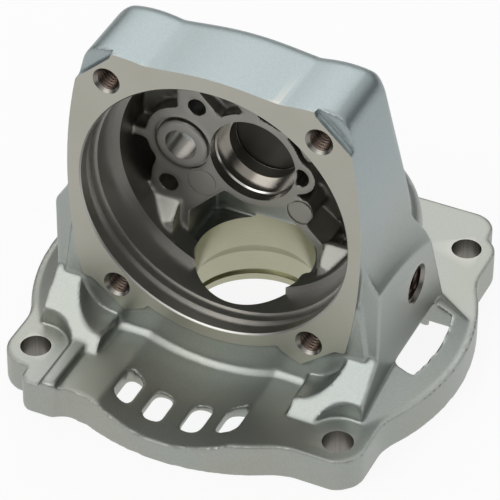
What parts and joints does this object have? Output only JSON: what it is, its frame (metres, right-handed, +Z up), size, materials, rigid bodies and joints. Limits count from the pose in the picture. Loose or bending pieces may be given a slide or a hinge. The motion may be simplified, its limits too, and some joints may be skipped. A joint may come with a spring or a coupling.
{
  "type": "angle grinder gearbox housing",
  "caption": "Die-cast right-angle gearbox housing with a motor flange, a stepped gear bore with a screwed cover face, a pinion bearing seat and side handle holes.",
  "frame": {"origin": "on the axis of the motor bore, in the flat underside of the motor flange", "axes": "+Z up along the motor axis, -Y the way the gear bore and its milled face look, +X to the right when the milled face is looked at"},
  "size_m": [0.09, 0.09, 0.0748],
  "materials": {
    "casting": "die-cast and blasted, with milled faces and turned bores"
  },
  "bodies": {
    "root": {"gearbox_housing": "casting"}
  },
  "joints": []
}
